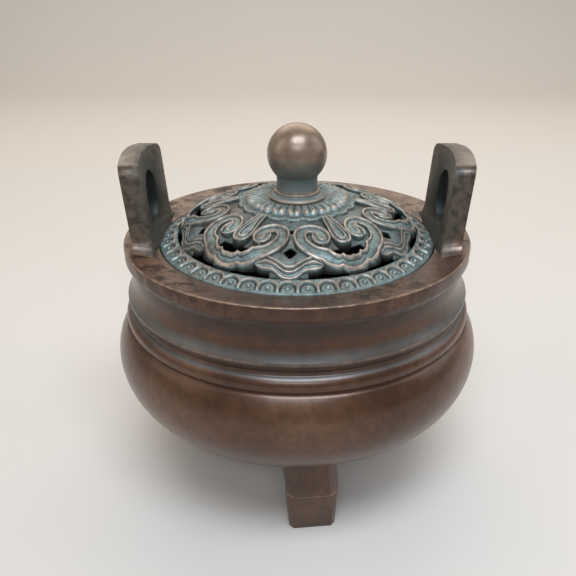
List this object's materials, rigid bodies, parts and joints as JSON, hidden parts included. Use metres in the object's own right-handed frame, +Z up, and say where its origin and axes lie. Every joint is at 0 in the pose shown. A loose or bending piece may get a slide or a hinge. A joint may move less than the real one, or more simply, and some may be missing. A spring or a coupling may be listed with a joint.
{
  "type": "incense burner",
  "caption": "Round-bellied bronze incense burner on square feet, with upright loop ears and a pierced cloud-scroll lid lifted by a ball finial.",
  "frame": {"origin": "on the ground below the bowl's axis, at the centre of the feet's base plane", "axes": "+Z up, the ears on the X axis, the front foot towards -Y"},
  "size_m": [0.1138, 0.1138, 0.1109],
  "materials": {
    "bowl_bronze": "brown patina, satin",
    "ear_bronze": "brown patina, satin",
    "foot_bronze": "brown patina, satin",
    "lid_bronze": "blue-grey patina, worn on the ridges",
    "finial_bronze": "brown and grey-green patina, handled",
    "fastener_brass": "plain brass, dulled by smoke",
    "heat_fibre": "white fibre, ash on it",
    "stand_brass": "pressed brass, dulled by smoke",
    "incense": "matte wood paste"
  },
  "bodies": {
    "bowl": {"bowl": "bowl_bronze", "left_ear": "ear_bronze", "right_ear": "ear_bronze", "front_foot": "foot_bronze", "rear_left_foot": "foot_bronze", "rear_right_foot": "foot_bronze", "fibre_mat": "heat_fibre"},
    "finial": {"finial": "finial_bronze", "finial_collar": "finial_bronze", "finial_stud": "fastener_brass"},
    "lid": {"lid_plate": "lid_bronze", "lid_skirt": "lid_bronze", "petal_rosette": "lid_bronze", "finial_washer": "fastener_brass", "finial_nut": "fastener_brass"},
    "stand": {"stand_dish": "stand_brass", "stand_prongs": "stand_brass", "incense_coil": "incense"}
  },
  "joints": [
    {"name": "lid_lift", "type": "slide", "parent": "bowl", "child": "finial", "axis": [0, 0, 1], "range_m": [0, 0.06]},
    {"name": "lid_turn", "type": "hinge", "parent": "finial", "child": "lid", "pos_m": [0, 0, 0.0767], "axis": [0, 0, 1], "continuous": true},
    {"name": "stand_lift", "type": "slide", "parent": "bowl", "child": "stand", "axis": [0, 0, 1], "range_m": [0, 0.03]}
  ]
}
